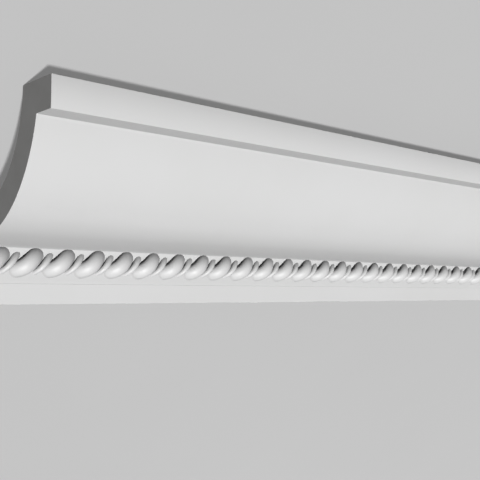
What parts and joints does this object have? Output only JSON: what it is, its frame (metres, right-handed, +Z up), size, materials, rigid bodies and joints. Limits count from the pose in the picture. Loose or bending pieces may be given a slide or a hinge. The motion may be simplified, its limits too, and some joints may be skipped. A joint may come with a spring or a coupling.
{
  "type": "cornice moulding",
  "caption": "Straight length of cornice moulding with a square nosing, a swelling front, a hollow back and a rope ornament on its lower band.",
  "frame": {"origin": "on the floor, below the middle of the box round the moulding as it lies on its hollow side", "axes": "+X along the length, towards the end that is on the left when it is installed; +Z up from the floor it lies on, on the side of the ornament; -Y towards the nosing that meets the ceiling, so +Y is towards the lower band"},
  "size_m": [2, 0.177, 0.0497],
  "materials": {
    "primed_foam": "matt white primer"
  },
  "bodies": {
    "root": {"cornice": "primed_foam"}
  },
  "joints": []
}
